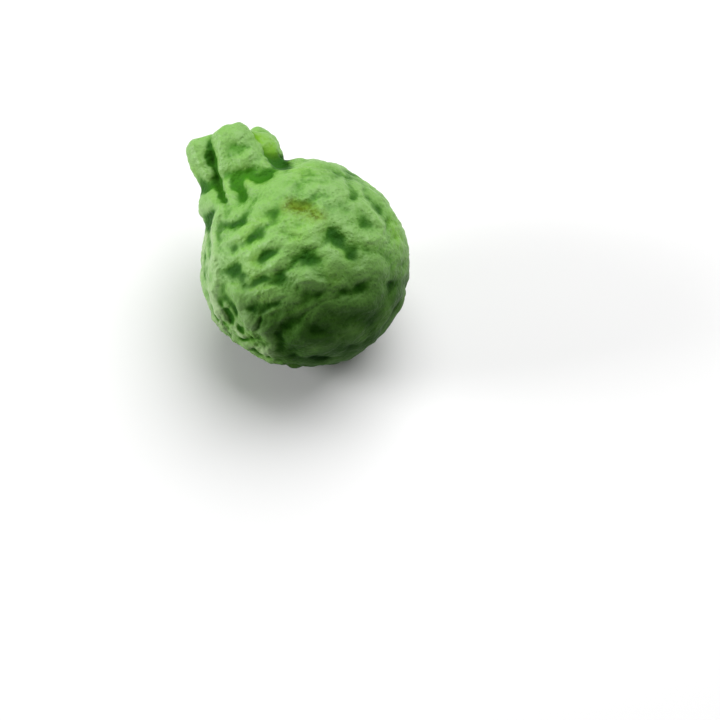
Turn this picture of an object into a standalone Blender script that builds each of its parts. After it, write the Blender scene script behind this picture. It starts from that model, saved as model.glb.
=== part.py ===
"""A whole makrut lime as picked, lying on its side on a small flat spot of its rind.

The fruit is one closed solid. It is first shaped upright: the middle of its round body is the origin, +Z
runs out through the neck at the stem end, and azimuths turn about +Z from +X. It is then leant over, so that
the neck heads along +Y and a little upwards, and set down on z = 0 with the flat spot at the origin.
"""

import math
from bisect import bisect_right

import bmesh
import bpy
import numpy as np
from mathutils import Matrix, Vector, noise
from mathutils.geometry import interpolate_bezier

MM = 0.001

# Driving sizes
BODY_RADIUS = 27 * MM
NECK_RADIUS = 11 * MM
NECK_TOP = 40.5 * MM
STEM_SCAR_RADIUS = 2.2 * MM
STEM_SCAR_HEIGHT = 35 * MM
FLAT_SPOT_RADIUS = 5.5 * MM

# How the fruit grew and how it lies
NECK_SHIFT = 5.5 * MM
SHORT_FLANK_AZIMUTH = 167
BLOSSOM_SWING = 30
NECK_RAISED_BY = 24

# Half of the fruit's outline, from the stem scar over the neck and body to the blossom end: radius, height
OUTLINE = (
    (0, STEM_SCAR_HEIGHT),
    (STEM_SCAR_RADIUS, STEM_SCAR_HEIGHT),
    (4.4 * MM, 38 * MM),
    (7.2 * MM, NECK_TOP),
    (10.2 * MM, 39 * MM),
    (11.6 * MM, 35 * MM),
    (NECK_RADIUS, 30 * MM),
    (12 * MM, 27.6 * MM),
    (14.8 * MM, 25.4 * MM),
    (18.4 * MM, 21.8 * MM),
    (22.9 * MM, 14.6 * MM),
    (26.3 * MM, 6 * MM),
    (BODY_RADIUS, -2 * MM),
    (25.2 * MM, -10 * MM),
    (19.5 * MM, -18.7 * MM),
    (11 * MM, -24.2 * MM),
    (4 * MM, -25.8 * MM),
    (0, -25.6 * MM),
)
OUTLINE_STEPS = 12

# Lobes of the neck: azimuth and half width in degrees, reach outwards, rise
NECK_LOBES = (
    (-99, 42, 0.8 * MM, 0.6 * MM),
    (-173, 33, 1.8 * MM, 1.4 * MM),
    (-33, 34, -0.8 * MM, -3 * MM),
    (24, 44, 0.6 * MM, -1.4 * MM),
    (106, 52, 1.4 * MM, 0.6 * MM),
)
CLEFT_DEPTH = 4.2 * MM
LOBE_ROUNDNESS = 0.5
LOBED_BY_HEIGHT = (20 * MM, 31 * MM)
LOBED_BY_RADIUS = (0.5 * MM, 9 * MM)
RISEN_BY_HEIGHT = (30 * MM, NECK_TOP)
SHIFTED_BY_HEIGHT = (19 * MM, 28 * MM)
SWUNG_BY_ANGLE = (80, 180)

# Lumps of the rind, which spread round the fruit on its broad sides and along it on its flanks
LUMPS_ROUND = (10.5 * MM, 10.5 * MM, 7 * MM)
LUMPS_ALONG = (5.5 * MM, 5.5 * MM, 13 * MM)
LUMP_HEIGHT = 1.7 * MM
LUMP_CREASE = 0.1
LUMP_MIDDLE = 0.22
LUMP_GAIN = 3
LUMP_WANDER = 0.45
LUMP_WANDER_SCALE = 0.7
LUMPS_ON_NECK = 0.75
NECK_BY_HEIGHT = (22 * MM, 33 * MM)
SHORT_FLANK_BY_ANGLE = (25, 50)
LONG_FLANK_BY_ANGLE = (140, 165)
FLANK_ENDS_BY_HEIGHT = (12 * MM, 21 * MM)
FLANK_LUMP_SHARE = 0.9
SMALL_LUMP_SCALE = 0.47
SMALL_LUMP_SHARE = 0.36
SWELL_SPACING = 22 * MM
SWELL_HEIGHT = 1.1 * MM
LIVELY_MIDDLE = 0.85
LIVELY_RANGE = 0.5
RIND_SEED = Vector((3.1, 7.7, 1.9))

# Fixes the noise that makes the lumps wander, so that every build grows the same fruit
WANDER_SEED = 3

# The side that shows, as world azimuth and elevation of the eye, azimuth 0 looking along +Y
SHOWN_AZIMUTH = -25
SHOWN_ELEVATION = 58
SHOWN_BY_FACING = (-0.5, 0)
LUMPS_WHERE_SHOWN = 0.28
LUMPS_LOW_DOWN = 0.8
LOW_DOWN_BY_DEPTH = (6 * MM, 16 * MM)

# Folds, pits and knobs of the side that shows. Each is a half width and a rise, then the points that it runs
# through, as the eye sees them right and up of the body's middle. All are in millimetres.
SHOWN_FOLDS = (
    # knobs, pockets and clefts of the neck
    (2.8, 1.9, (-13.9, 27.2), (-10.8, 26.4)),
    (2.1, -3.4, (-15, 23.6), (-12.8, 22.6), (-9.8, 23.6)),
    (2.4, -4, (-17.4, 19.9), (-16, 17.8)),
    (1.7, -2, (-7.2, 26.8), (-5, 26.2)),
    (1.6, -2, (-24.4, 27.4), (-22.5, 22.2), (-21, 16.8)),
    (1.5, 1.8, (-22.9, 25.9), (-21.7, 22.4), (-20.6, 19.5), (-19.7, 16.9)),
    (1.5, 0.9, (-21.7, 24.6), (-13.9, 29.3), (-10.8, 30.7)),
    (1.5, 1.4, (-15.6, 24.8), (-14.4, 20.6), (-15.2, 17)),
    (2, 0.8, (-29.6, 32.2)),
    (1.8, -0.4, (-27, 29.4), (-25.6, 27.2)),
    (1.6, 0.9, (-24.6, 24.2)),
    (2.8, -1, (-19.7, 30), (-17.5, 29.6)),
    (2, -0.9, (-29.2, 25), (-27, 20.6)),
    (2.2, 1, (-3.4, 29), (2.5, 27.6)),
    (1.8, 1.2, (-6.4, 30), (-4, 29.8)),
    # the short flank, left of the long ridge
    (2.8, 1, (-25.2, 14.2)),
    (1.5, -1.3, (-23.6, 12.2), (-24.8, 9.4), (-24.8, 6.2)),
    (1.5, 1.1, (-21.6, 14.9), (-22, 12.6), (-23.2, 10), (-23.7, 8), (-23.2, 5), (-22.8, -5)),
    (1.8, 1.1, (-27.4, 9.6), (-27.4, 4), (-28.2, -1.4), (-27.6, -6)),
    # folds round the body
    (1.4, -0.7, (-15.6, 12), (-13.6, 12.6)),
    (1.7, -0.8, (-10, 12.7), (-6.4, 13.9)),
    (1.5, -0.9, (-18.2, 9.3), (-15.4, 10.2)),
    (1.4, 0.5, (-19.5, 5.8), (-16.6, 6.8)),
    (1.8, -1.2, (-17.9, 3.4), (-15.1, 5.3), (-11.8, 7.5)),
    (1.4, 0.6, (-19.8, 1), (-14.8, 2.3), (-11.9, 3.9), (-8.2, 5.5)),
    (1.8, -1, (-11.8, 0.8), (-9.4, 1.7), (-7, 2.5)),
    (1.3, 0.6, (-12.9, -1.8), (-8.8, -1.4), (-5.7, 0.7), (-4, 2.7)),
    (2, -1.2, (-2.6, 0.8), (0.4, 1.1)),
    (1.8, -0.7, (2.6, 0.8), (4.6, 0.2)),
    (2.3, -1.4, (-17.4, -1.5), (-16, -2.7)),
    (2.3, -1, (-10.2, -4.6), (-6, -4)),
    (1.8, 0.5, (-11.9, -8.1), (-8.5, -6.6)),
    (2.2, -0.5, (-10.8, -10.6), (-7.4, -11)),
    (1.9, 1, (-18.2, -7), (-16.8, -8.2)),
    (1.8, -0.5, (-21.4, -5.4), (-20.4, -8)),
    (2, 0.5, (-1.6, -5.4), (1.8, -5), (5.4, -6.2)),
    (1.6, 0.5, (5.8, 3.2), (9.2, 1.4)),
    # pits and knobs of the far half
    (2.3, -1.5, (7.2, 7.6), (9, 5.4)),
    (2, 0.5, (3.6, 8.6)),
    (1.9, 0.4, (12.2, 6.8)),
    (1.7, -0.3, (14.9, 9.8), (15.9, 8.6)),
    (1.6, -0.9, (15.6, 4.3), (18, 3.9)),
    (1.8, -1, (20.6, 1.6), (22.4, 0.8)),
    (1.8, -0.8, (11.2, 3), (13, -0.2)),
    (1.8, 0.8, (18.8, -0.8), (19.8, -2.2)),
    (1.8, 0.8, (13.8, -1.8), (15.6, -2.4)),
    (1.4, 0.9, (12.3, 14.7), (14.6, 15.6), (16.3, 14.4), (17.7, 12.1), (19.8, 9.2), (19.4, 6.6), (16, 6)),
    (1.6, -0.7, (17.4, 16.6), (19.4, 14.6)),
    (1.6, -0.7, (20.6, 11.6), (22.4, 8.2)),
    (3.4, -1.6, (12.4, 25.4)),
    (2.2, 0.8, (20.6, 18)),
    (1.9, -1, (-2.6, 15.4), (1.4, 14.4)),
    (2.6, 1, (4.6, 20.4), (7.6, 19)),
    (1.8, -0.6, (13.6, -5.6), (15.4, -5.4)),
    (1.8, -0.7, (19.6, -4.8), (21.4, -4.6)),
    (1.9, 0.8, (15, -9), (16.8, -9.4)),
    (1.9, 0.7, (10.6, -11.4)),
    (2.2, 0.8, (3.6, -14.4), (5.4, -14.6)),
    # wrinkles that run together at the blossom end
    (1.5, 0.8, (-17.3, -7.6), (-15.5, -12.8), (-13.4, -17.4)),
    (1.6, -0.7, (-19, -10.4), (-17.6, -14), (-14.4, -18.6)),
    (1.7, 0.7, (-23.9, -6.8), (-22.5, -10.6), (-20.4, -14.6), (-17.4, -17.6)),
    (1.8, 0.4, (-25.9, -5.4), (-23.6, -10.6), (-22.5, -15.5)),
    (1.5, 0.6, (-7.5, -12), (-10.1, -13.2), (-10.6, -15.5), (-9.8, -19)),
    (4, -1, (5.5, -26.5)),
)

# A fold of one point is a round knob or pit, whose run counts as this long
SHORTEST_RUN = 0.1 * MM

# The ball that the fruit is shaped from, and the finish of its skin
BALL_ROUNDS = 4
BALL_CUTS = 2
SMOOTHING = 0.3
RIND_GREEN = (0.16, 0.36, 0.07, 1)
RIND_ROUGHNESS = 0.42


def smooth_step(low, high, value):
    share = min(1, max(0, (value - low) / (high - low)))
    return share * share * (3 - 2 * share)


def smooth_line(points, steps):
    """Points on a smooth curve through a half outline's points, square to the axis at both ends."""
    points = [Vector(point) for point in points]
    mirrored = [Vector((-points[i].x, points[i].y)) for i in (1, -2)]
    padded = [mirrored[0], *points, mirrored[1]]
    line = []
    for before, start, end, after in zip(padded, padded[1:], padded[2:], padded[3:]):
        leave = start + (end - before) / 6
        arrive = end - (after - start) / 6
        line += interpolate_bezier(start, leave, arrive, end, steps)[:-1]
    return [*line, points[-1]]


class Outline:
    """The half outline, read by the share of its length."""

    def __init__(self, points):
        self.line = smooth_line(points, OUTLINE_STEPS)
        self.shares = [0.0]
        for start, end in zip(self.line, self.line[1:]):
            self.shares.append(self.shares[-1] + (end - start).length)
        self.shares = [share / self.shares[-1] for share in self.shares]

    def at(self, share):
        """(radius, height) at a share of the length."""
        i = min(bisect_right(self.shares, share), len(self.shares) - 1)
        part = (share - self.shares[i - 1]) / (self.shares[i] - self.shares[i - 1])
        return self.line[i - 1].lerp(self.line[i], part)


def degrees_apart(a, b):
    return (a - b + 180) % 360 - 180


def lobe_swell(azimuth):
    """(roundness from 0 in a cleft to 1 on a lobe's back, reach, rise) at an azimuth in degrees."""
    best = (0, 0, 0)
    for middle, half_width, reach, rise in NECK_LOBES:
        across = degrees_apart(azimuth, middle) / half_width
        if abs(across) < 1:
            roundness = (1 - across * across) ** LOBE_ROUNDNESS
            best = max(best, (roundness, reach * roundness, rise * roundness))
    return best


def form_point(outline, share, azimuth):
    """A point of the smooth form with its neck lobes, before the blossom end is swung round."""
    radius, height = outline.at(share)
    turn = math.radians(azimuth)
    roundness, reach, rise = lobe_swell(azimuth)
    lobed = smooth_step(*LOBED_BY_HEIGHT, height) * smooth_step(*LOBED_BY_RADIUS, radius)
    radius += lobed * (reach - CLEFT_DEPTH * (1 - roundness))
    height += lobed * rise * smooth_step(*RISEN_BY_HEIGHT, height)
    shift = NECK_SHIFT * smooth_step(*SHIFTED_BY_HEIGHT, height)
    flank = math.radians(SHORT_FLANK_AZIMUTH)
    return Vector(
        (
            radius * math.cos(turn) + shift * math.cos(flank),
            radius * math.sin(turn) + shift * math.sin(flank),
            height,
        )
    )


def lumps(point, spacing, seed):
    """Rounded lumps with narrow creases between them, from about -0.4 in a crease to 1 on the highest."""
    spot = Vector(along / step for along, step in zip(point, spacing)) + seed
    spot += LUMP_WANDER * noise.noise_vector(LUMP_WANDER_SCALE * spot)
    return LUMP_GAIN * (math.hypot(noise.noise(spot), LUMP_CREASE) - LUMP_MIDDLE)


def rind_relief(point):
    """How far lumps and swells stand out of the smooth form."""
    azimuth = math.degrees(math.atan2(point.y, point.x))
    from_flank = abs(degrees_apart(azimuth, SHORT_FLANK_AZIMUTH))
    along = 1 - smooth_step(*SHORT_FLANK_BY_ANGLE, from_flank)
    along += smooth_step(*LONG_FLANK_BY_ANGLE, from_flank)
    along *= 1 - smooth_step(*FLANK_ENDS_BY_HEIGHT, abs(point.z))
    broad = lumps(point, LUMPS_ROUND, RIND_SEED)
    narrow = lumps(point, LUMPS_ALONG, -RIND_SEED)
    relief = broad + along * (FLANK_LUMP_SHARE * narrow - broad)
    relief += SMALL_LUMP_SHARE * lumps(point / SMALL_LUMP_SCALE, LUMPS_ROUND, 2 * RIND_SEED)
    lively = LIVELY_MIDDLE + LIVELY_RANGE * noise.noise(point / SWELL_SPACING - 2 * RIND_SEED)
    return LUMP_HEIGHT * lively * relief + SWELL_HEIGHT * noise.noise(point / SWELL_SPACING + RIND_SEED)


def swing_blossom_end(point):
    """Turns the far end of the body about its middle, towards the short flank."""
    from_neck = math.degrees(Vector((0, 0, 1)).angle(point, 0))
    flank = math.radians(SHORT_FLANK_AZIMUTH)
    hinge = Vector((-math.sin(flank), math.cos(flank), 0))
    swing = math.radians(BLOSSOM_SWING) * smooth_step(*SWUNG_BY_ANGLE, from_neck)
    return Matrix.Rotation(-swing, 3, hinge) @ point


def lean():
    return Matrix.Rotation(math.radians(NECK_RAISED_BY - 90), 4, "X")


def shown_directions():
    """Right, up and towards the eye, for an eye that looks at the side that shows."""
    azimuth, elevation = math.radians(SHOWN_AZIMUTH), math.radians(SHOWN_ELEVATION)
    right = Vector((math.cos(azimuth), math.sin(azimuth), 0))
    level = Vector((math.sin(azimuth), -math.cos(azimuth), 0))
    toward = math.cos(elevation) * level + math.sin(elevation) * Vector((0, 0, 1))
    return right, toward.cross(right), toward


def fold_relief(right, up):
    """How far the shown side's folds stand out, at arrays of places right and up of the body's middle."""
    relief = np.zeros(len(right))
    for half_width, rise, *points in SHOWN_FOLDS:
        points = [np.array(point) * MM for point in points]
        nearest = np.full(len(right), np.inf)
        for start, end in zip(points, points[1:] or points):
            run = end - start
            length_squared = max(run @ run, SHORTEST_RUN**2)
            share = np.clip(((right - start[0]) * run[0] + (up - start[1]) * run[1]) / length_squared, 0, 1)
            apart = np.hypot(right - start[0] - share * run[0], up - start[1] - share * run[1])
            nearest = np.minimum(nearest, apart)
        relief += rise * MM * np.exp(-((nearest / (half_width * MM)) ** 2))
    return relief


def shown_share(normal):
    """How far a place of the leant fruit, with this normal, belongs to the side that shows."""
    return smooth_step(*SHOWN_BY_FACING, normal.dot(shown_directions()[2]))


def lumps_kept(place, normal):
    """The share of its lumps that a place of the upright fruit keeps beside the folds that are shown."""
    turn = lean().to_3x3()
    low = smooth_step(*LOW_DOWN_BY_DEPTH, -(turn @ place).dot(shown_directions()[1]))
    where_shown = LUMPS_WHERE_SHOWN + low * (LUMPS_LOW_DOWN - LUMPS_WHERE_SHOWN)
    on_neck = 1 - (1 - LUMPS_ON_NECK) * smooth_step(*NECK_BY_HEIGHT, place.z)
    return on_neck * (1 - (1 - where_shown) * shown_share(turn @ normal))


def shape_upright(ball):
    """Moves the vertices of a unit ball onto the upright fruit, with lumps all over."""
    noise.seed_set(WANDER_SEED)
    outline = Outline(OUTLINE)
    for vertex in ball.verts:
        direction = vertex.co.normalized()
        share = math.acos(max(-1, min(1, direction.z))) / math.pi
        azimuth = math.degrees(math.atan2(direction.y, direction.x))
        vertex.co = form_point(outline, share, azimuth)
    ball.normal_update()
    for vertex in ball.verts:
        relief = lumps_kept(vertex.co, vertex.normal) * rind_relief(vertex.co)
        vertex.co = swing_blossom_end(vertex.co + relief * vertex.normal)


def add_shown_folds(ball):
    """Raises and sinks the folds, pits and knobs of the side that shows, on the leant fruit."""
    ball.normal_update()
    right, up, toward = shown_directions()
    places = np.array([vertex.co for vertex in ball.verts])
    relief = fold_relief(places @ np.array(right), places @ np.array(up))
    for vertex, rise in zip(ball.verts, relief.tolist()):
        vertex.co += rise * shown_share(vertex.normal) * (vertex.normal + toward).normalized()
    every_axis = {"use_axis_x": True, "use_axis_y": True, "use_axis_z": True}
    bmesh.ops.smooth_vert(ball, verts=ball.verts, factor=SMOOTHING, **every_axis)


def set_down(ball):
    """Lowers the leant fruit onto z = 0 and presses its flat spot."""
    pressed = FLAT_SPOT_RADIUS**2 / (2 * BODY_RADIUS)
    ball.transform(Matrix.Translation((0, 0, BODY_RADIUS - pressed)))
    for vertex in ball.verts:
        vertex.co.z = max(0, vertex.co.z)


def rind_material():
    material = bpy.data.materials.new("rind")
    material.use_nodes = True
    shader = material.node_tree.nodes["Principled BSDF"]
    shader.inputs["Base Color"].default_value = RIND_GREEN
    shader.inputs["Roughness"].default_value = RIND_ROUGHNESS
    shader.inputs["Metallic"].default_value = 0
    return material


def build_fruit():
    ball = bmesh.new()
    bmesh.ops.create_icosphere(ball, subdivisions=BALL_ROUNDS, radius=1)
    bmesh.ops.subdivide_edges(ball, edges=ball.edges, cuts=BALL_CUTS, use_grid_fill=True)
    shape_upright(ball)
    ball.transform(lean())
    add_shown_folds(ball)
    set_down(ball)
    mesh = bpy.data.meshes.new("fruit")
    ball.to_mesh(mesh)
    ball.free()
    mesh.materials.append(rind_material())
    mesh.shade_smooth()
    fruit = bpy.data.objects.new("fruit", mesh)
    bpy.context.scene.collection.objects.link(fruit)
    return fruit


def main():
    for old in list(bpy.data.objects):
        bpy.data.objects.remove(old)
    build_fruit()


main()
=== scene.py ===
"""Dresses a makrut lime: a finer rind with its wrinkles, oil glands and colours, on a plain pale stage.

It is laid out as an add-on and run as a script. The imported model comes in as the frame, and its one node
is replaced by a finer piece grown from it, so the fruit keeps its form, place and size.
"""

import math

import bmesh
import bpy
import numpy as np
from bpy.props import FloatProperty, FloatVectorProperty, PointerProperty
from mathutils import Matrix, Vector, noise
from mathutils.bvhtree import BVHTree


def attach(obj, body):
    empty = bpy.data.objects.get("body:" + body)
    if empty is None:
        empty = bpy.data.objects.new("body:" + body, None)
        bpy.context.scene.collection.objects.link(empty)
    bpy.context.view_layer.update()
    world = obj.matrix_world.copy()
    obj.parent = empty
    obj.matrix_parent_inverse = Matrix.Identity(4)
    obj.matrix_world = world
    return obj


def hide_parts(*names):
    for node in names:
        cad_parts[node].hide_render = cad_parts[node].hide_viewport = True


bl_info = {
    "name": "Makrut lime",
    "version": (1, 0, 0),
    "blender": (4, 5, 0),
    "location": "View3D > Sidebar > Makrut lime",
    "description": "A knobbly green makrut lime with a waxy, pebbled rind",
    "category": "Object",
}

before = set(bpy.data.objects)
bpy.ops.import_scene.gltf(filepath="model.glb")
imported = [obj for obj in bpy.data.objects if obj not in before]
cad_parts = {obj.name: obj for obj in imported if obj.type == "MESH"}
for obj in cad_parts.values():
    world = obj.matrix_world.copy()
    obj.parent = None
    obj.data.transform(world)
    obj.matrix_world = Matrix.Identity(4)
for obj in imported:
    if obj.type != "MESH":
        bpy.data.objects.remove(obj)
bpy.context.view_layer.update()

MM = 0.001

# The fruit's own layout, as the solid was made: the middle of its body, and how many degrees its neck rises
BODY_MIDDLE = Vector((0, 0, 26.4 * MM))
NECK_RAISED_BY = 24

# The two scars: places in the upright fruit, how far from there each begins to fade and ends, and how corky
# the blossom scar is beside the stem scar
STEM_SCAR_PLACE = (-5.4 * MM, 1.2 * MM, 35 * MM)
STEM_SCAR_FADE = (2 * MM, 3.6 * MM)
BLOSSOM_PLACE = (-15.5 * MM, 8 * MM, -19.6 * MM)
BLOSSOM_FADE = (0.8 * MM, 2 * MM)
BLOSSOM_SHARE = 0.5

# The photograph's frame, the pixel of it at which the body's middle stands, and the size of one pixel
PHOTO_PIXELS = 720
BODY_MIDDLE_PIXEL = (306, 266)
PIXEL = 0.262 * MM

# The camera's sensor in mm, and the nearest that it sees in metres
SENSOR_WIDTH = 36
NEAREST_SEEN = 0.01

# The lights: azimuth and elevation in degrees, given as the eye's, then distance and width in metres
KEY_LIGHT = (120, 62, 0.8, 0.9)
SIDE_LIGHT = (-112, 20, 0.8, 0.3)

# The floor is a disc: its radius in metres, and its sides
FLOOR_RADIUS = 1.5
FLOOR_SIDES = 64

# Patches of the side that shows: (right, up) of the body's middle, in mm, and how far each reaches
SUNNY_LOBE = ((-10, 33), 6.5)
# the cheek is painted rim light on the right limb
RIM_LIGHT_CHEEK = ((24, 8), 7)
FRESH_NECK = ((-18, 25), 15)

# How strong the cheek's painted rim light is beside the lobe, how much of a patch's reach its even middle
# takes, and how far in front of the body's middle the search for a patch's place starts, in metres
RIM_LIGHT_CHEEK_SHARE = 0.4
PATCH_MIDDLE = 0.2
SEARCH_FROM = 0.1

# The rubbed, brownish streak: a line of (right, up) in mm, and how far it reaches
BROWN_STREAK = ((-3.6, 14.6), (-0.4, 13.6), (3.6, 11.9))
BROWN_REACH = 3.6

# Painted sheen, a paler, greyer strip along the short flank: a line of (right, up) in mm, and how far it
# reaches
PAINTED_SHEEN_FLANK = ((-27, 10), (-27, -4), (-23.5, -12), (-16, -19.5), (-12, -23))
PAINTED_SHEEN_REACH = 8

# Painted shade, darker on the side down and a little right from the eye: the way to it as (right, up), and
# how far that way it begins and is full
PAINTED_SHADE_WAY = (0.22, -0.97)
PAINTED_SHADE_BY_DEPTH = (-5 * MM, 17 * MM)

# Fine folds of the side that shows: a half width and a rise, then the points that each runs through, as
# (right, up) of the body's middle. All are in mm.
FINE_FOLDS = (
    # wrinkles that run together at the blossom end
    (0.55, 0.4, (-18.9, -11.4), (-17.4, -13.6), (-15.5, -17), (-13.6, -19.4), (-12.2, -21.6)),
    (0.55, 0.5, (-11.6, -13.6), (-13.4, -16.4), (-12.7, -19), (-11, -21.6), (-10.2, -23.6)),
    (0.5, 0.6, (-15.4, -14.6), (-14.6, -16.8), (-12.8, -18.4)),
    (0.6, 0.5, (-9.5, -22), (-8.3, -24.6)),
    (0.6, 0.45, (-10.6, -15.5), (-10.1, -13.2), (-7.5, -12)),
    (0.6, 0.5, (-23.9, -6.8), (-22.5, -10.6), (-20.4, -14.6), (-16.7, -18.3), (-13.8, -20.8)),
    (0.5, 0.5, (-24.9, -6.4), (-23.2, -11.6), (-21.4, -15.8), (-17.4, -19.2), (-14.8, -21.4)),
    (0.5, 0.4, (-27.4, -2.8), (-26.4, -6.4), (-24.4, -11), (-22.8, -15.4), (-18.6, -19.4)),
    (0.6, -0.15, (-20.7, -10.6), (-19.3, -13.4), (-18.4, -16), (-15.4, -18.4)),
    (0.6, -0.2, (-17.9, -11.2), (-15.9, -14.4), (-14.2, -17.8), (-12, -20.4)),
    # the long ridge and the streaks of the short flank
    (0.8, 0.7, (-21.6, 14.9), (-22, 12.6), (-23.2, 10), (-23.7, 8), (-23.2, 5), (-22.8, -5)),
    (0.5, 0.35, (-25.6, 4.6), (-25.6, -1.6), (-24.4, -6.6)),
    (0.5, 0.3, (-26.9, 3.6), (-26.9, -1.6), (-26, -6)),
    (0.5, 0.3, (-24.6, 0.8), (-24.2, -3.6), (-23.4, -8)),
    (0.5, -0.3, (-26.2, 2.6), (-26.3, -2.6), (-25.2, -8)),
    # edges of the neck
    (0.7, 0.3, (-22.9, 25.9), (-21.7, 22.4), (-20.6, 19.5), (-19.7, 16.9)),
    (0.8, -0.45, (-24.2, 27.4), (-23, 24), (-21.9, 20.4), (-20.7, 16.8)),
    # edges and creases of the body's folds
    (0.6, -0.15, (-5.4, 7.4), (-3.2, 6.9), (-1.2, 6.2)),
    (1.4, -0.5, (-3, 14.1), (-0.8, 13.8)),
    (1.2, -0.3, (2.2, 12.4), (3.8, 11.8)),
    (0.5, -0.3, (-9.4, 9.6), (-6.6, 10.4), (-4.6, 10)),
    (0.5, -0.3, (-12.4, 10.4), (-10.6, 11.4)),
    (0.6, 0.25, (-11.9, -8.1), (-8.5, -6.4)),
    (0.5, 0.25, (-1.4, -4.8), (2, -4.4), (5, -5.4)),
    (0.5, 0.25, (15.6, 5.4), (17.6, 5.6), (19.2, 6.6)),
)

# How far the rind has to face the eye, as a cosine, for a fold, the rubbed streak and the flank's painted
# sheen to begin and to be full
SHOWN_BY_FACING = (-0.5, 0)

# The finer skin: corners that lie nearer than this are one, how far each is pushed off its neighbours' mean
# before the skin is subdivided, how often that is done, and how far it smooths each time
WELD_DISTANCE = 0.002 * MM
CRISPING = 0.12
SUBDIVISIONS = 2
SOFTENING = 0.75

# Fine wrinkles: how much longer they are round the fruit than along it, how far and how coarsely they bend,
# and the fineness and height of each layer of noise in them
WRINKLE_STRETCH = 1.6
WRINKLE_BEND = 0.5
WRINKLE_BEND_FINENESS = 0.6
WRINKLE_LAYERS = ((1, 1), (2.1, 0.6), (4.2, 0.25))

# Fixes the noise that bends the fine wrinkles, so that each run grows the same ones
WRINKLE_SEED = 5

# The broader wrinkles where shade is painted on the lower front: how many times as far apart as the fine
# ones, and as high
LOW_WRINKLE_SPACING = 2.2
LOW_WRINKLE_HEIGHT = 1.3

# Heights above the floor between which the fine relief comes in
ABOVE_FLOOR = (0, 2 * MM)

# The least length that a way is divided by, where it is made one long
LEAST_LENGTH = 0.01

# Rounds of smoothing that give each point's near and wide surroundings, the rounds that soften the edges of
# creases, and how deep under those surroundings a crease and a basin are full
NEAR_ROUNDS = 40
WIDE_ROUNDS = 240
CREASE_ROUNDS = 12
CREASE_DEPTH = 0.4 * MM
BASIN_DEPTH = 1.6 * MM

# Attributes that the rind's material reads
HOLLOW = "hollow"
BASIN = "basin"
BROWN = "brown"
PAINTED_SHADE = "painted_shade_mask"
SUNNY_AND_RIM_LIGHT = "sunny_and_rim_light"
FRESH = "fresh"
PAINTED_SHEEN = "painted_sheen_mask"
SCAR = "scar"

# Spacings of the material's patterns, and how far the glands wander off theirs
MOTTLE_SPACING = 7 * MM
SPECKLE_SPACING = 0.9 * MM
PEBBLED_SPACING = 6 * MM
WARM_SPACING = 11 * MM
BROWN_CREASE_SPACING = 1.6 * MM
GRAIN_SPACING = 1.8 * MM
WANDER_SPACING = 1.5 * MM
WANDER = 0.5 * MM

# How deep a spot of the rind counts, about -1 on ridges to 1 in hollows: what its crease, its basin and its
# mottling add, and what is taken off again for an even mottling
HOLLOW_WEIGHT = 1.2
BASIN_WEIGHT = 1.1
MOTTLE_WEIGHT = 0.7
EVEN_MOTTLE = 0.35

# Depths at which each effect begins and is full
# painted shade in hollows and creases
CREASE_SHADE_DEPTHS = (-0.3, 0.8)
RIDGE_DEPTHS = (0.3, -0.8)
FRESH_DEPTHS = (-0.4, 0.4)
WARM_DEPTHS = (0.4, -0.6)
FLECK_DEPTHS = (0.5, -0.5)
# painted highlight on the crests
CREST_HIGHLIGHT_DEPTHS = (-0.3, -1.1)
# painted sheen on the short flank's ridges
PAINTED_SHEEN_DEPTHS = (0.3, -0.5)
MATT_DEPTHS = (-0.3, 0.6)

# Values of each pattern at which its effect begins and is full: first noise, then the distance off a gland
PEBBLED_RANGE = (0.25, 0.55)
WARM_RANGE = (0.48, 0.7)
BROWN_CREASE_RANGE = (0.64, 0.36)
SPECKLE_RANGE = (0.5, 0.7)
PAINTED_SHEEN_RANGE = (0.3, 0.6)
PAINTED_SHADE_RANGE = (-0.4, 0.7)
DOT_RANGE = (0.6, 0)
RIM_RANGE = (0.3, 0.75)

# How much of the rind's colour each effect takes over where it is full, and how much of its painted shade
# the flank with painted sheen loses
FRESH_SHARE = 0.45
WARM_SHARE = 0.45
OLIVE_SHARE = 0.8
BROWN_CREASE_SHARE = 0.9
FLECK_SHARE = 0.55
PAINTED_SHEEN_SHARE = 0.8
DOT_SHARE = 0.15
PAINTED_SHEEN_UNSHADED = 0.75

# Dullness that hollows and scars add to the rind's roughness
HOLLOW_DULLNESS = 0.15
SCAR_DULLNESS = 0.35

# Gloss, and what it loses: in hollows a part of 1, and elsewhere a share of what is left
GLOSS = 0.35
HOLLOW_GLOSS_LOSS = 0.25
PAINTED_SHADE_GLOSS_LOSS = 0.9
BROWN_GLOSS_LOSS = 0.8

# Heights of the bump, as multiples of the gland depth
PIT_RELIEF = -1.2
GRAIN_RELIEF = 4.4
SPECKLE_RELIEF = 1.0

# How light spreads under the wax: how much of it does, how far for red, green and blue, and the scale of
# those distances
GLOW = 0.08
GLOW_RADIUS = (0.6, 1.0, 0.3)
GLOW_SCALE = 1.2 * MM


def colour_setting(name, description, default):
    return FloatVectorProperty(
        name=name, description=description, default=default, size=3, min=0, max=1, subtype="COLOR"
    )


def length_setting(name, description, default, least):
    return FloatProperty(
        name=name, description=description, default=default, min=least, precision=5, unit="LENGTH"
    )


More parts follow.
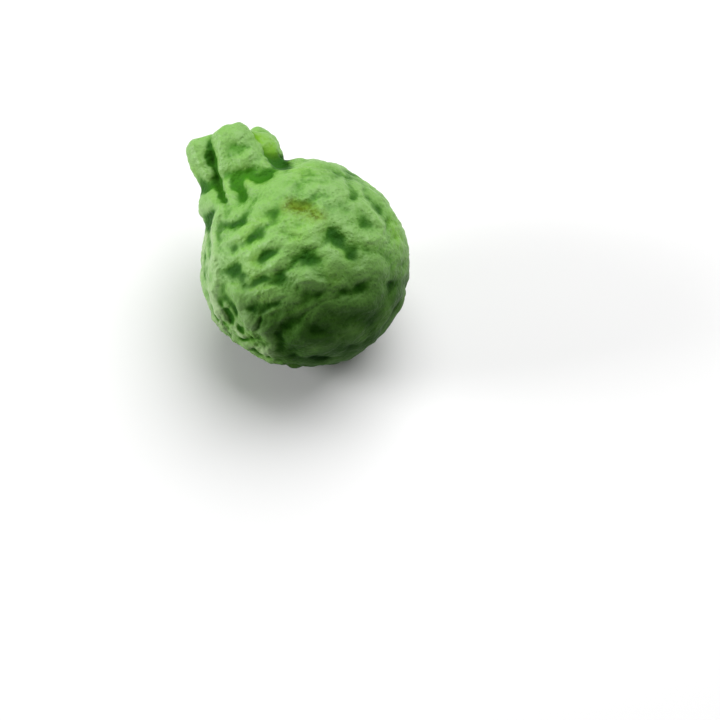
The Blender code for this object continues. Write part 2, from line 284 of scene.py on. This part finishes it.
class RindSettings(bpy.types.PropertyGroup):
    """Sizes and colours of the rind."""

    wrinkle_height: length_setting(
        "Wrinkle height", "How far the fine wrinkles between the lumps stand out", 0.38 * MM, 0
    )
    wrinkle_spacing: length_setting(
        "Wrinkle spacing", "From one fine wrinkle to the next", 3.2 * MM, 0.5 * MM
    )
    gland_pitch: length_setting(
        "Gland pitch", "From one oil gland of the rind to the next", 1.05 * MM, 0.2 * MM
    )
    gland_depth: length_setting(
        "Gland depth", "How deep the dots over the oil glands lie", 0.08 * MM, 0
    )
    roughness: FloatProperty(
        name="Roughness", description="How dull the waxy rind is", default=0.55, min=0, max=1
    )
    green: colour_setting("Green", "The rind's main colour", (0.07, 0.22, 0.014))
    ridge_green: colour_setting(
        "Ridge green", "The rubbed, paler colour of ridges and knobs", (0.15, 0.33, 0.06)
    )
    # painted shade: this green darkens hollows and creases; it also colours the glands' dots
    gland_dot_and_crease_shade_green: colour_setting(
        "Hollow green", "The deeper colour of hollows and creases", (0.015, 0.085, 0.003)
    )
    # painted shade: this tint darkens the lower front as seen from the eye
    painted_shade: colour_setting(
        "Shade",
        "How much of its colour the side that grew away from the sun keeps",
        (0.13, 0.2, 0.1),
    )
    # also painted rim light: this yellower green lightens the right cheek
    sunny_and_rim_light_green: colour_setting(
        "Sunny green", "The yellower colour of lobes and cheeks that caught the sun", (0.17, 0.39, 0.015)
    )
    fresh_green: colour_setting(
        "Fresh green", "The vivid colour of the neck's hollows", (0.06, 0.26, 0.005)
    )
    # also painted highlight: this palest green goes over the crests
    fleck_and_crest_highlight_green: colour_setting(
        "Fleck green", "The palest green, of the rims between the oil glands", (0.2, 0.39, 0.1)
    )
    # painted sheen: this pale greyish green goes on the short flank's ridges
    painted_sheen_green: colour_setting(
        "Rubbed green", "The dull, pale colour of the rubbed flank's ridges", (0.34, 0.46, 0.24)
    )
    brown: colour_setting("Brown", "The colour of the rubbed streak's creases", (0.07, 0.11, 0.005))
    olive: colour_setting("Olive", "The golden olive of the rubbed streak", (0.15, 0.25, 0.025))
    cork: colour_setting(
        "Cork", "The dry colour of the stem scar and the blossom scar", (0.14, 0.14, 0.05)
    )


class StageSettings(bpy.types.PropertyGroup):
    """The eye, the floor and the lights."""

    eye_azimuth: FloatProperty(
        name="Eye azimuth",
        description="Where the camera stands round the fruit; 0 looks along +Y",
        default=math.radians(-25),
        subtype="ANGLE",
    )
    eye_elevation: FloatProperty(
        name="Eye elevation",
        description="How steeply the camera looks down",
        default=math.radians(58),
        subtype="ANGLE",
    )
    eye_distance: FloatProperty(
        name="Eye distance",
        description="From the camera to the fruit",
        default=0.7,
        min=0.2,
        unit="LENGTH",
    )
    floor_colour: colour_setting("Floor colour", "The plain pale floor", (0.75, 0.75, 0.75))
    key_power: FloatProperty(
        name="Key power",
        description="The large soft light above and behind the fruit",
        default=11.5,
        min=0,
        unit="POWER",
    )
    side_power: FloatProperty(
        name="Side power",
        description="The weak light that grazes the left side",
        default=6,
        min=0,
        unit="POWER",
    )
    fill: FloatProperty(
        name="Fill", description="Strength of the even light from all round", default=0.07, min=0
    )


def smooth_step(low, high, values):
    share = np.clip((values - low) / (high - low), 0, 1)
    return share * share * (3 - 2 * share)


def upright_lean():
    """Turns the upright fruit, whose neck is along +Z, the way that it lies."""
    return Matrix.Rotation(math.radians(NECK_RAISED_BY - 90), 3, "X")


def from_upright(place):
    """A place given in the upright fruit, with its body's middle as origin."""
    return BODY_MIDDLE + upright_lean() @ Vector(place)


def eye_directions(azimuth, elevation):
    """Right, up and back towards the eye."""
    right = Vector((math.cos(azimuth), math.sin(azimuth), 0))
    level = Vector((math.sin(azimuth), -math.cos(azimuth), 0))
    back = math.cos(elevation) * level + math.sin(elevation) * Vector((0, 0, 1))
    return right, back.cross(right), back


class Neighbours:
    """Averages values over each vertex's neighbours."""

    def __init__(self, mesh):
        ends = np.empty(len(mesh.edges) * 2, np.int32)
        mesh.edges.foreach_get("vertices", ends)
        self.first, self.second = ends[0::2], ends[1::2]
        self.total = len(mesh.vertices)
        self.count = np.bincount(ends, minlength=self.total)

    def mean(self, values):
        to_first = np.bincount(self.first, values[self.second], self.total)
        return (to_first + np.bincount(self.second, values[self.first], self.total)) / self.count

    def smooth(self, columns, rounds):
        """Moves every value half way to its neighbours' mean, as many times as there are rounds."""
        columns = columns.copy()
        for _ in range(rounds):
            for column in columns.T:
                column += 0.5 * (self.mean(column) - column)
        return columns


def read_places(mesh):
    places = np.empty(len(mesh.vertices) * 3)
    mesh.vertices.foreach_get("co", places)
    return places.reshape(-1, 3)


def read_normals(mesh):
    normals = np.empty(len(mesh.vertices) * 3)
    mesh.vertices.foreach_get("normal", normals)
    return normals.reshape(-1, 3)


def store(mesh, name, values):
    layer = mesh.attributes.new(name, "FLOAT", "POINT")
    layer.data.foreach_set("value", values)


def off_neighbours(vertex):
    """The way to a vertex from its neighbours' mean."""
    others = [edge.other_vert(vertex).co for edge in vertex.link_edges]
    return vertex.co - sum(others, Vector()) / len(others)


def refined_copy(node):
    """A copy of the CAD node's mesh, its triangles joined, crisped and subdivided into a smooth skin."""
    skin = bmesh.new()
    skin.from_mesh(node.data)
    bmesh.ops.remove_doubles(skin, verts=skin.verts, dist=WELD_DISTANCE)
    crisped = [vertex.co + CRISPING * off_neighbours(vertex) for vertex in skin.verts]
    for vertex, place in zip(skin.verts, crisped):
        vertex.co = place
    for _ in range(SUBDIVISIONS):
        bmesh.ops.subdivide_edges(skin, edges=skin.edges, cuts=1, use_grid_fill=True)
        bmesh.ops.smooth_vert(
            skin,
            verts=skin.verts,
            factor=SOFTENING,
            use_axis_x=True,
            use_axis_y=True,
            use_axis_z=True,
        )
    mesh = bpy.data.meshes.new("rind")
    skin.to_mesh(mesh)
    skin.free()
    return mesh


def wrinkle(place, spacing):
    """Soft fine wrinkles round the upright fruit, about -1 to 1."""
    spot = Vector((place[0] / WRINKLE_STRETCH, place[1] / WRINKLE_STRETCH, place[2])) / spacing
    spot += WRINKLE_BEND * noise.noise_vector(WRINKLE_BEND_FINENESS * spot)
    return sum(height * noise.noise(fineness * spot) for fineness, height in WRINKLE_LAYERS)


def off_line(right, up, points):
    """How far places lie off a line through points in mm. All are right and up of the body's middle."""
    points = [np.array(point) * MM for point in points]
    nearest = np.full(len(right), np.inf)
    for start, end in zip(points, points[1:]):
        run = end - start
        share = ((right - start[0]) * run[0] + (up - start[1]) * run[1]) / (run @ run)
        share = np.clip(share, 0, 1)
        apart = np.hypot(right - start[0] - share * run[0], up - start[1] - share * run[1])
        nearest = np.minimum(nearest, apart)
    return nearest


def fold_relief(right, up):
    """How far the fine folds stand out, at arrays of places right and up of the body's middle."""
    relief = np.zeros(len(right))
    for half_width, rise, *points in FINE_FOLDS:
        relief += rise * MM * np.exp(-((off_line(right, up, points) / (half_width * MM)) ** 2))
    return relief


def painted_shade_share(from_middle, right, up):
    """How far places lie in the painted shade, down and a little right from the eye, as shares of 0 to 1.
    """
    return smooth_step(*PAINTED_SHADE_BY_DEPTH, from_middle @ (PAINTED_SHADE_WAY[0] * right + PAINTED_SHADE_WAY[1] * up))


def wrinkle_rind(mesh, settings, stage):
    """Raises the fine folds and wrinkles, and lets nothing sink under the floor."""
    normals = read_normals(mesh)
    places = read_places(mesh)
    directions = eye_directions(stage.eye_azimuth, stage.eye_elevation)
    right, up, back = (np.array(way) for way in directions)
    from_middle = places - np.array(BODY_MIDDLE)
    near_floor = smooth_step(*ABOVE_FLOOR, places[:, 2])

    folds = fold_relief(from_middle @ right, from_middle @ up)
    folds *= smooth_step(*SHOWN_BY_FACING, normals @ back)
    outwards = normals + back
    outwards /= np.maximum(np.linalg.norm(outwards, axis=1), LEAST_LENGTH)[:, None]
    places += (near_floor * folds)[:, None] * outwards

    noise.seed_set(WRINKLE_SEED)
    upright = (from_middle @ np.array(upright_lean())).tolist()
    low_spacing = LOW_WRINKLE_SPACING * settings.wrinkle_spacing
    wrinkles = np.array([wrinkle(place, settings.wrinkle_spacing) for place in upright])
    broad = np.array([wrinkle(place, low_spacing) for place in upright])
    wrinkles += LOW_WRINKLE_HEIGHT * painted_shade_share(from_middle, right, up) * broad
    places += (near_floor * settings.wrinkle_height * wrinkles)[:, None] * normals

    places[:, 2] = np.maximum(places[:, 2], 0)
    mesh.vertices.foreach_set("co", places.ravel())
    mesh.update()


def mark_hollows(mesh):
    """Stores how deep each point lies under its surroundings: in creases, and in broad basins."""
    neighbours = Neighbours(mesh)
    places, normals = read_places(mesh), read_normals(mesh)
    near = neighbours.smooth(places, NEAR_ROUNDS)
    wide = neighbours.smooth(near, WIDE_ROUNDS)

    def sunk_under(surroundings, full_depth):
        return np.clip(np.sum((surroundings - places) * normals, axis=1) / full_depth, -1, 1)

    creases = sunk_under(near, CREASE_DEPTH)[:, None]
    store(mesh, HOLLOW, neighbours.smooth(creases, CREASE_ROUNDS)[:, 0])
    store(mesh, BASIN, sunk_under(wide, BASIN_DEPTH))


def mark_patches(mesh, stage):
    """Stores the painted shade, the sunny lobe with the cheek's painted rim light, the fresh patch, the
    rubbed streak, the flank's painted sheen and the scars, each 0 to 1.
    """
    places = read_places(mesh)
    from_middle = places - np.array(BODY_MIDDLE)
    right, up, back = eye_directions(stage.eye_azimuth, stage.eye_elevation)
    across, along = from_middle @ np.array(right), from_middle @ np.array(up)
    shown = smooth_step(*SHOWN_BY_FACING, read_normals(mesh) @ np.array(back))
    tree = BVHTree.FromPolygons([v.co for v in mesh.vertices], [p.vertices for p in mesh.polygons])

    def near_patch(patch):
        (patch_right, patch_up), reach = patch
        start = BODY_MIDDLE + patch_right * MM * right + patch_up * MM * up + SEARCH_FROM * back
        hit = tree.ray_cast(start, -back)[0]
        if hit is None:
            raise RuntimeError("a patch lies beside the fruit")
        off_hit = np.linalg.norm(places - hit, axis=1) / (reach * MM)
        return 1 - smooth_step(PATCH_MIDDLE, 1, off_hit)

    def near_line(points, reach):
        return shown * (1 - smooth_step(0, 1, off_line(across, along, points) / (reach * MM)))

    def near_scar(place, fade):
        return 1 - smooth_step(*fade, np.linalg.norm(places - from_upright(place), axis=1))

    # painted shade, darker towards the lower front as seen from the eye
    store(mesh, PAINTED_SHADE, painted_shade_share(from_middle, np.array(right), np.array(up)))
    # the cheek's share is painted rim light
    store(mesh, SUNNY_AND_RIM_LIGHT, np.maximum(near_patch(SUNNY_LOBE), RIM_LIGHT_CHEEK_SHARE * near_patch(RIM_LIGHT_CHEEK)))
    store(mesh, FRESH, near_patch(FRESH_NECK))
    store(mesh, BROWN, near_line(BROWN_STREAK, BROWN_REACH))
    # painted sheen along the short flank
    store(mesh, PAINTED_SHEEN, near_line(PAINTED_SHEEN_FLANK, PAINTED_SHEEN_REACH))
    stem = near_scar(STEM_SCAR_PLACE, STEM_SCAR_FADE)
    blossom = near_scar(BLOSSOM_PLACE, BLOSSOM_FADE)
    store(mesh, SCAR, np.maximum(stem, BLOSSOM_SHARE * blossom))


class Graph:
    """Adds nodes to a material and links them."""

    def __init__(self, material):
        self.tree = material.node_tree

    def add(self, kind, inputs=(), **settings):
        node = self.tree.nodes.new(kind)
        for name, value in settings.items():
            setattr(node, name, value)
        for name, value in dict(inputs).items():
            if isinstance(value, bpy.types.NodeSocket):
                self.tree.links.new(value, node.inputs[name])
            else:
                node.inputs[name].default_value = value
        return node

    def attribute(self, name):
        return self.add("ShaderNodeAttribute", attribute_name=name).outputs["Fac"]

    def maths(self, operation, first, second=0.0, third=0.0):
        inputs = {0: first, 1: second, 2: third}
        return self.add("ShaderNodeMath", inputs, operation=operation).outputs[0]

    def times(self, first, second):
        return self.maths("MULTIPLY", first, second)

    def times_plus(self, first, second, third):
        return self.maths("MULTIPLY_ADD", first, second, third)

    def lessened(self, value, mask, loss):
        """The value, less the share of it that is lost where the mask is full."""
        return self.times(value, self.times_plus(mask, -loss, 1.0))

    def vector_maths(self, operation, first, second):
        return self.add("ShaderNodeVectorMath", {0: first, 1: second}, operation=operation).outputs[0]

    def ramp(self, value, low, high):
        """0 at low to 1 at high, smoothly."""
        inputs = {"Value": value, "From Min": low, "From Max": high}
        return self.add("ShaderNodeMapRange", inputs, interpolation_type="SMOOTHSTEP").outputs["Result"]

    def mix(self, share, first, second, blend="MIX"):
        node = self.add("ShaderNodeMix", data_type="RGBA", blend_type=blend)
        for socket, value in zip((node.inputs[0], node.inputs[6], node.inputs[7]), (share, first, second)):
            if isinstance(value, bpy.types.NodeSocket):
                self.tree.links.new(value, socket)
            else:
                socket.default_value = (*value, 1)
        return node.outputs[2]

    def noise(self, place, spacing, detail=2.0):
        inputs = {"Vector": place, "Scale": 1 / spacing, "Detail": detail}
        return self.add("ShaderNodeTexNoise", inputs).outputs["Fac"]

    def cells(self, place, spacing, randomness=0.85):
        inputs = {"Vector": place, "Scale": 1 / spacing, "Randomness": randomness}
        return self.add("ShaderNodeTexVoronoi", inputs).outputs["Distance"]


class RindGraph(Graph):
    """The rind's patterns and marks, and what its material makes of them."""

    def __init__(self, material, settings):
        super().__init__(material)
        self.settings = settings
        self.place = self.add("ShaderNodeTexCoord").outputs["Object"]
        self.mottle = self.noise(self.place, MOTTLE_SPACING, 4)
        self.speckle = self.noise(self.place, SPECKLE_SPACING)
        self.hollow = self.attribute(HOLLOW)
        self.brown = self.attribute(BROWN)
        self.painted_shade_mask = self.attribute(PAINTED_SHADE)
        self.painted_sheen_mask = self.attribute(PAINTED_SHEEN)
        self.scar = self.attribute(SCAR)
        self.deep = self.depth()
        self.dots, self.rims = self.glands()

    def depth(self):
        """How deep each spot counts."""
        deep = self.times_plus(self.hollow, HOLLOW_WEIGHT, self.times(self.attribute(BASIN), BASIN_WEIGHT))
        return self.times_plus(self.mottle, MOTTLE_WEIGHT, self.maths("SUBTRACT", deep, EVEN_MOTTLE))

    def glands(self):
        """Where the dots over the oil glands lie, and where the rims between them do, each 0 to 1."""
        wander = self.add("ShaderNodeTexNoise", {"Vector": self.place, "Scale": 1 / WANDER_SPACING})
        wander = self.vector_maths("MULTIPLY", wander.outputs["Color"], (WANDER,) * 3)
        wandered = self.vector_maths("ADD", self.place, wander)
        off_gland = self.cells(wandered, self.settings.gland_pitch)
        pebbled = self.ramp(self.noise(self.place, PEBBLED_SPACING), *PEBBLED_RANGE)
        dots = self.times(self.ramp(off_gland, *DOT_RANGE), pebbled)
        return dots, self.times(self.ramp(off_gland, *RIM_RANGE), pebbled)

    def greens(self):
        """Greens by depth with painted shade in hollows and creases, fresher round the neck, yellower where
        the sun reached, and a painted rim light on the right cheek.
        """
        settings = self.settings
        # painted shade: darker green in hollows and creases
        colour = self.mix(self.ramp(self.deep, *CREASE_SHADE_DEPTHS), settings.green, settings.gland_dot_and_crease_shade_green)
        colour = self.mix(self.ramp(self.deep, *RIDGE_DEPTHS), colour, settings.ridge_green)
        fresh = self.times(self.attribute(FRESH), self.ramp(self.deep, *FRESH_DEPTHS))
        colour = self.mix(self.times(fresh, FRESH_SHARE), colour, settings.fresh_green)
        # the cheek's share of this is painted rim light
        colour = self.mix(self.attribute(SUNNY_AND_RIM_LIGHT), colour, settings.sunny_and_rim_light_green)
        warm = self.ramp(self.noise(self.place, WARM_SPACING, 3), *WARM_RANGE)
        warm = self.times(warm, self.ramp(self.deep, *WARM_DEPTHS))
        return self.mix(self.times(warm, WARM_SHARE), colour, settings.sunny_and_rim_light_green)

    def streaked(self, colour):
        """The rubbed streak: olive, with brown creases."""
        colour = self.mix(self.times(self.brown, OLIVE_SHARE), colour, self.settings.olive)
        creases = self.ramp(self.noise(self.place, BROWN_CREASE_SPACING), *BROWN_CREASE_RANGE)
        creased = self.times(self.brown, creases)
        return self.mix(self.times(creased, BROWN_CREASE_SHARE), colour, self.settings.brown)

    def flecked(self, colour):
        """Pale flecks and gland rims, painted highlights on the crests, painted sheen on the short flank's
        ridges, and the glands' dark dots.
        """
        fleck = self.maths("MAXIMUM", self.ramp(self.speckle, *SPECKLE_RANGE), self.rims)
        fleck = self.times(fleck, self.ramp(self.deep, *FLECK_DEPTHS))
        # painted highlight: palest green on the crests
        fleck = self.maths("MAXIMUM", fleck, self.ramp(self.deep, *CREST_HIGHLIGHT_DEPTHS))
        colour = self.mix(self.times(fleck, FLECK_SHARE), colour, self.settings.fleck_and_crest_highlight_green)
        # painted sheen: pale greyish green on the short flank's ridges
        painted_sheen = self.times(self.ramp(self.deep, *PAINTED_SHEEN_DEPTHS), self.ramp(self.mottle, *PAINTED_SHEEN_RANGE))
        painted_sheen = self.times(self.painted_sheen_mask, painted_sheen)
        colour = self.mix(self.times(painted_sheen, PAINTED_SHEEN_SHARE), colour, self.settings.painted_sheen_green)
        return self.mix(self.times(self.dots, DOT_SHARE), colour, self.settings.gland_dot_and_crease_shade_green)

    def painted_shade_and_cork(self, colour):
        """Painted shade on the lower front as seen from the eye, which leaves out the flank with painted
        sheen, and the corky scars.
        """
        # painted shade: the lower front, as seen from the eye, is darkened
        painted_shade = self.times(self.painted_shade_mask, self.ramp(self.mottle, *PAINTED_SHADE_RANGE))
        painted_shade = self.lessened(painted_shade, self.painted_sheen_mask, PAINTED_SHEEN_UNSHADED)
        colour = self.mix(painted_shade, colour, self.settings.painted_shade, "MULTIPLY")
        return self.mix(self.scar, colour, self.settings.cork)

    def roughness(self):
        """Duller in the hollows and on the scars."""
        rough = self.times_plus(self.hollow, HOLLOW_DULLNESS, self.settings.roughness)
        return self.times_plus(self.scar, SCAR_DULLNESS, rough)

    def gloss(self):
        """Less gloss in the hollows, where shade is painted on the lower front, and on the rubbed streak.
        """
        gloss = self.times_plus(self.ramp(self.deep, *MATT_DEPTHS), -HOLLOW_GLOSS_LOSS, GLOSS)
        gloss = self.lessened(gloss, self.painted_shade_mask, PAINTED_SHADE_GLOSS_LOSS)
        return self.lessened(gloss, self.brown, BROWN_GLOSS_LOSS)

    def bump(self):
        """Pits over the glands, and the grain between them."""
        grain = self.noise(self.place, GRAIN_SPACING, 3)
        relief = self.times_plus(grain, GRAIN_RELIEF, self.times(self.dots, PIT_RELIEF))
        relief = self.times_plus(self.speckle, SPECKLE_RELIEF, relief)
        inputs = {"Height": relief, "Distance": self.settings.gland_depth, "Strength": 1.0}
        return self.add("ShaderNodeBump", inputs).outputs["Normal"]


def rind_material(settings):
    """Waxy citrus rind: greens by depth, a rubbed streak, oil glands and corky scars, with painted shade in
    creases and on the lower front, painted highlights on crests, painted sheen on the flank and painted rim
    light.
    """
    material = bpy.data.materials.new("makrut_lime_rind")
    material.use_nodes = True
    graph = RindGraph(material, settings)
    shader = material.node_tree.nodes["Principled BSDF"]
    for socket, value in (
        ("Base Color", graph.painted_shade_and_cork(graph.flecked(graph.streaked(graph.greens())))),
        ("Roughness", graph.roughness()),
        ("Specular IOR Level", graph.gloss()),
        ("Normal", graph.bump()),
    ):
        graph.tree.links.new(value, shader.inputs[socket])
    shader.inputs["Subsurface Weight"].default_value = GLOW
    shader.inputs["Subsurface Radius"].default_value = GLOW_RADIUS
    shader.inputs["Subsurface Scale"].default_value = GLOW_SCALE
    return material


class OBJECT_OT_makrut_lime_rind(bpy.types.Operator):
    """Replace the fruit's solid by its finer rind"""

    bl_idname = "object.makrut_lime_rind"
    bl_label = "Makrut lime rind"
    bl_options = {"REGISTER", "UNDO"}

    def execute(self, context):
        settings = context.scene.makrut_lime_rind
        stage = context.scene.makrut_lime_stage
        mesh = refined_copy(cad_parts["fruit"])
        wrinkle_rind(mesh, settings, stage)
        mark_hollows(mesh)
        mark_patches(mesh, stage)
        mesh.materials.append(rind_material(settings))
        mesh.shade_smooth()
        rind = bpy.data.objects.new("rind", mesh)
        context.scene.collection.objects.link(rind)
        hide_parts("fruit")
        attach(rind, "root")
        return {"FINISHED"}


def soft_light(name, stand, power):
    """A square soft light that faces the fruit. It stands at an azimuth, elevation and distance."""
    azimuth, elevation, distance, width = stand
    light = bpy.data.lights.new(name, "AREA")
    light.size = width
    light.energy = power
    lamp = bpy.data.objects.new(name, light)
    bpy.context.scene.collection.objects.link(lamp)
    back = eye_directions(math.radians(azimuth), math.radians(elevation))[2]
    lamp.location = BODY_MIDDLE + distance * back
    lamp.rotation_euler = back.to_track_quat("Z", "Y").to_euler()


def make_camera(settings):
    """The eye of the photograph, with the body's middle at its pixel of the photograph's frame."""
    right, up, back = eye_directions(settings.eye_azimuth, settings.eye_elevation)
    camera = bpy.data.objects.new("eye", bpy.data.cameras.new("eye"))
    bpy.context.scene.collection.objects.link(camera)
    across = (PHOTO_PIXELS / 2 - BODY_MIDDLE_PIXEL[0]) * PIXEL
    along = (BODY_MIDDLE_PIXEL[1] - PHOTO_PIXELS / 2) * PIXEL
    aim = BODY_MIDDLE + across * right + along * up
    camera.location = aim + settings.eye_distance * back
    camera.rotation_euler = back.to_track_quat("Z", "Y").to_euler()
    camera.data.sensor_width = SENSOR_WIDTH
    camera.data.lens = SENSOR_WIDTH * settings.eye_distance / (PHOTO_PIXELS * PIXEL)
    camera.data.clip_start = NEAREST_SEEN
    bpy.context.scene.camera = camera


def make_floor(settings):
    disc = bmesh.new()
    bmesh.ops.create_circle(disc, cap_ends=True, segments=FLOOR_SIDES, radius=FLOOR_RADIUS)
    mesh = bpy.data.meshes.new("floor")
    disc.to_mesh(mesh)
    disc.free()
    material = bpy.data.materials.new("pale_floor")
    material.use_nodes = True
    shader = material.node_tree.nodes["Principled BSDF"]
    shader.inputs["Base Color"].default_value = (*settings.floor_colour, 1)
    shader.inputs["Roughness"].default_value = 0.8
    shader.inputs["Specular IOR Level"].default_value = 0.2
    mesh.materials.append(material)
    floor = bpy.data.objects.new("floor", mesh)
    bpy.context.scene.collection.objects.link(floor)


def make_fill(settings):
    world = bpy.data.worlds.new("studio")
    world.use_nodes = True
    sky = world.node_tree.nodes["Background"]
    sky.inputs["Color"].default_value = (1, 1, 1, 1)
    sky.inputs["Strength"].default_value = settings.fill
    bpy.context.scene.world = world


class SCENE_OT_makrut_lime_stage(bpy.types.Operator):
    """Set up the eye, the pale floor and the soft lights"""

    bl_idname = "scene.makrut_lime_stage"
    bl_label = "Makrut lime stage"
    bl_options = {"REGISTER", "UNDO"}

    def execute(self, context):
        settings = context.scene.makrut_lime_stage
        make_camera(settings)
        make_floor(settings)
        make_fill(settings)
        soft_light("key_light", KEY_LIGHT, settings.key_power)
        soft_light("side_light", SIDE_LIGHT, settings.side_power)
        context.scene.view_settings.view_transform = "Standard"
        return {"FINISHED"}


class VIEW3D_PT_makrut_lime(bpy.types.Panel):
    """Lists the makrut lime's pieces and their settings"""

    bl_label = "Makrut lime"
    bl_space_type = "VIEW_3D"
    bl_region_type = "UI"
    bl_category = "Makrut lime"

    def draw(self, context):
        for operator, settings in (
            (OBJECT_OT_makrut_lime_rind, context.scene.makrut_lime_rind),
            (SCENE_OT_makrut_lime_stage, context.scene.makrut_lime_stage),
        ):
            box = self.layout.box()
            box.operator(operator.bl_idname)
            for name in settings.bl_rna.properties.keys():
                if name not in ("rna_type", "name"):
                    box.prop(settings, name)


CLASSES = (
    RindSettings,
    StageSettings,
    OBJECT_OT_makrut_lime_rind,
    SCENE_OT_makrut_lime_stage,
    VIEW3D_PT_makrut_lime,
)


def register():
    for cls in CLASSES:
        bpy.utils.register_class(cls)
    bpy.types.Scene.makrut_lime_rind = PointerProperty(type=RindSettings)
    bpy.types.Scene.makrut_lime_stage = PointerProperty(type=StageSettings)


def unregister():
    del bpy.types.Scene.makrut_lime_stage
    del bpy.types.Scene.makrut_lime_rind
    for cls in reversed(CLASSES):
        bpy.utils.unregister_class(cls)


def main():
    register()
    bpy.ops.object.makrut_lime_rind()
    bpy.ops.scene.makrut_lime_stage()


if __name__ == "__main__":
    main()
